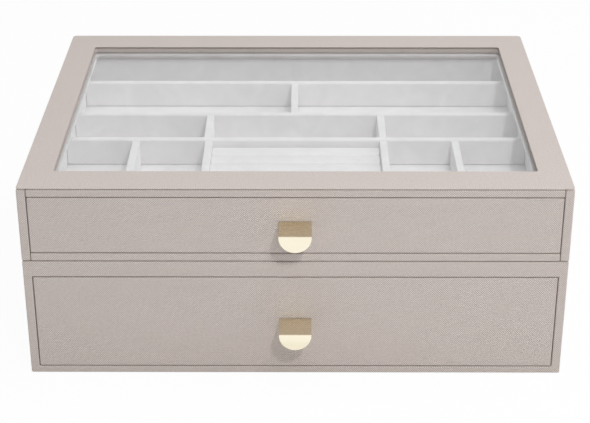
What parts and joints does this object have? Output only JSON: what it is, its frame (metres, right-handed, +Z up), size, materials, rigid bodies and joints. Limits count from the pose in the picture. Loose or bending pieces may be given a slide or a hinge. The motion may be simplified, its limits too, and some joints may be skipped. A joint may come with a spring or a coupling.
{
  "type": "jewellery box",
  "caption": "Stackable jewellery box: a glazed upper module with a compartment drawer over a deep drawer module, each drawer with a folded tab pull.",
  "frame": {"origin": "middle of the underside, on the surface the box stands on", "axes": "+X to the right seen from the front, +Y from the drawer fronts to the back, +Z up"},
  "size_m": [0.37, 0.3157, 0.1434],
  "materials": {
    "taupe_leatherette": "fine pebble grain, satin",
    "pale_grey_velvet": "short pile, matt",
    "lining_paper": "board covered in matt grey lining paper",
    "base_felt": "matt felt",
    "clear_glass": "clear float glass",
    "polished_brass": "polished pale gold",
    "zinc_plated_steel": "zinc plated"
  },
  "bodies": {
    "lower_case": {"lower_case_shell": "taupe_leatherette", "lower_back_board": "taupe_leatherette", "lower_base_felt": "base_felt"},
    "lower_drawer": {"lower_drawer_front": "taupe_leatherette", "lower_drawer_left_wall": "lining_paper", "lower_drawer_right_wall": "lining_paper", "lower_drawer_back_wall": "lining_paper", "lower_drawer_bottom": "lining_paper", "lower_drawer_floor_pad": "pale_grey_velvet", "lower_drawer_left_liner": "pale_grey_velvet", "lower_drawer_right_liner": "pale_grey_velvet", "lower_drawer_front_liner": "pale_grey_velvet", "lower_drawer_back_liner": "pale_grey_velvet", "lower_tray_long_divider": "pale_grey_velvet", "lower_tray_cross_divider": "pale_grey_velvet", "lower_handle": "polished_brass", "lower_handle_left_screw": "zinc_plated_steel", "lower_handle_right_screw": "zinc_plated_steel"},
    "upper_case": {"upper_left_side": "taupe_leatherette", "upper_right_side": "taupe_leatherette", "upper_back_board": "taupe_leatherette", "upper_bottom_board": "lining_paper", "upper_top_rail": "taupe_leatherette", "upper_bottom_rail": "taupe_leatherette", "upper_base_felt": "base_felt", "top_frame": "taupe_leatherette", "glass_pane": "clear_glass", "glass_retainer": "pale_grey_velvet"},
    "upper_drawer": {"upper_drawer_front": "taupe_leatherette", "upper_drawer_left_wall": "lining_paper", "upper_drawer_right_wall": "lining_paper", "upper_drawer_back_wall": "lining_paper", "upper_drawer_bottom": "lining_paper", "upper_drawer_floor_pad": "pale_grey_velvet", "upper_drawer_left_liner": "pale_grey_velvet", "upper_drawer_right_liner": "pale_grey_velvet", "upper_drawer_front_liner": "pale_grey_velvet", "upper_drawer_back_liner": "pale_grey_velvet", "upper_tray_long_divider_1": "pale_grey_velvet", "upper_tray_long_divider_2": "pale_grey_velvet", "upper_tray_long_divider_3": "pale_grey_velvet", "upper_tray_long_divider_4": "pale_grey_velvet", "upper_tray_row_1_left_divider": "pale_grey_velvet", "upper_tray_row_1_right_divider": "pale_grey_velvet", "upper_tray_row_2_far_left_divider": "pale_grey_velvet", "upper_tray_row_2_left_divider": "pale_grey_velvet", "upper_tray_row_2_right_divider": "pale_grey_velvet", "upper_tray_row_2_far_right_divider": "pale_grey_velvet", "upper_tray_row_3_left_divider": "pale_grey_velvet", "upper_tray_row_3_right_divider": "pale_grey_velvet", "upper_tray_row_4_middle_divider": "pale_grey_velvet", "ring_roll_base": "pale_grey_velvet", "ring_roll_1": "pale_grey_velvet", "ring_roll_2": "pale_grey_velvet", "ring_roll_3": "pale_grey_velvet", "ring_roll_4": "pale_grey_velvet", "upper_handle": "polished_brass", "upper_handle_left_screw": "zinc_plated_steel", "upper_handle_right_screw": "zinc_plated_steel"}
  },
  "joints": [
    {"name": "lower_drawer_slide", "type": "slide", "parent": "lower_case", "child": "lower_drawer", "axis": [0, -1, 0], "range_m": [0, 0.23]},
    {"name": "upper_case_lift", "type": "slide", "parent": "lower_case", "child": "upper_case", "axis": [0, 0, 1], "range_m": [0, 0.08]},
    {"name": "upper_drawer_slide", "type": "slide", "parent": "upper_case", "child": "upper_drawer", "axis": [0, -1, 0], "range_m": [0, 0.23]}
  ]
}
